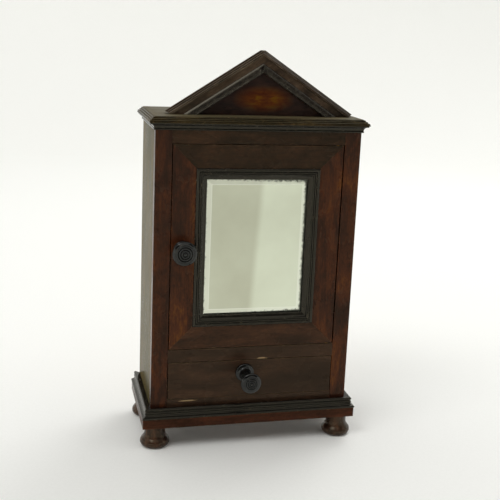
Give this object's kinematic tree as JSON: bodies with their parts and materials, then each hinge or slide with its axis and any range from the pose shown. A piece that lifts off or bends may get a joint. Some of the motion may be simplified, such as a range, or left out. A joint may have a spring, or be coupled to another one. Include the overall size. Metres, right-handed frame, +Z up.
{
  "type": "table cabinet",
  "caption": "Small upright cabinet on turned feet, with a mirror door on pivots, a turning latch knob, a drawer below, and a moulded cornice and pediment.",
  "frame": {"origin": "centre of the bounding box's base, on the surface that the feet stand on", "axes": "+Z up; the door and drawer face -Y, and the knobs stand out furthest that way; +X is to the right as seen from the front"},
  "size_m": [0.24, 0.1412, 0.4269],
  "materials": {
    "mahogany_door": "polished",
    "mahogany_frame": "polished",
    "mahogany_case": "polished",
    "mahogany_turned": "polished",
    "mahogany_drawer": "polished",
    "mahogany_cornice": "polished",
    "amboyna_panel": "polished",
    "ebonised_moulding": "polished black",
    "ebonised_knob": "polished black",
    "mirror_glass": "aged silvering",
    "pine_inside": "bare",
    "brass": "dull",
    "iron": "dull"
  },
  "bodies": {
    "carcass": {"base_board": "mahogany_case", "foot_front_left": "mahogany_turned", "foot_front_right": "mahogany_turned", "foot_back_left": "mahogany_turned", "foot_back_right": "mahogany_turned", "plinth_moulding_front": "ebonised_moulding", "plinth_moulding_sides": "ebonised_moulding", "base_screws": "brass", "side_panel_left": "mahogany_case", "side_panel_right": "mahogany_case", "back_panel": "pine_inside", "back_pins": "iron", "bottom_board": "pine_inside", "divider_board": "pine_inside", "carcass_top": "pine_inside", "face_stile_left": "mahogany_frame", "face_stile_right": "mahogany_frame", "top_rail": "mahogany_frame", "mid_rail": "mahogany_frame", "bottom_rail": "mahogany_frame", "shelf": "pine_inside", "shelf_bearers": "pine_inside", "drawer_guides": "pine_inside", "drawer_stops": "pine_inside", "door_stop": "pine_inside", "pivot_pins": "brass", "cornice_board": "mahogany_case", "cornice_crown_front": "mahogany_cornice", "cornice_crown_left": "mahogany_cornice", "cornice_crown_right": "mahogany_cornice", "cornice_bed_front": "ebonised_moulding", "cornice_bed_sides": "ebonised_moulding", "pediment_board": "mahogany_case", "tympanum_panel": "amboyna_panel", "rake_fascias": "mahogany_cornice", "rake_beads": "ebonised_moulding", "rake_cap_left": "mahogany_cornice", "rake_cap_right": "mahogany_cornice", "pediment_dowels": "pine_inside", "pediment_glue_blocks": "pine_inside"},
    "door": {"door_stile_left": "mahogany_door", "door_stile_right": "mahogany_door", "door_rail_top": "mahogany_door", "door_rail_bottom": "mahogany_door", "mirror_moulding_sides": "ebonised_moulding", "mirror_moulding_ends": "ebonised_moulding", "mirror_plate": "mirror_glass", "door_backboard": "pine_inside", "backboard_buttons": "brass", "backboard_screws": "brass", "pivot_bushes": "brass"},
    "latch": {"door_knob": "ebonised_knob", "latch_tongue": "brass", "latch_screw": "brass"},
    "drawer": {"drawer_front": "mahogany_drawer", "drawer_sides": "pine_inside", "drawer_back": "pine_inside", "drawer_bottom": "pine_inside", "drawer_knob": "ebonised_knob", "drawer_knob_screw": "brass"}
  },
  "joints": [
    {"name": "door_hinge", "type": "hinge", "parent": "carcass", "child": "door", "pos_m": [0.0855, -0.03055, 0.2206], "axis": [0, 0, 1], "range_deg": [0, 115]},
    {"name": "latch_turn", "type": "hinge", "parent": "door", "child": "latch", "pos_m": [-0.0793, -0.03405, 0.2196], "axis": [0, 1, 0], "range_deg": [0, 90]},
    {"name": "drawer_slide", "type": "slide", "parent": "carcass", "child": "drawer", "axis": [0, -1, 0], "range_m": [0, 0.06]}
  ]
}
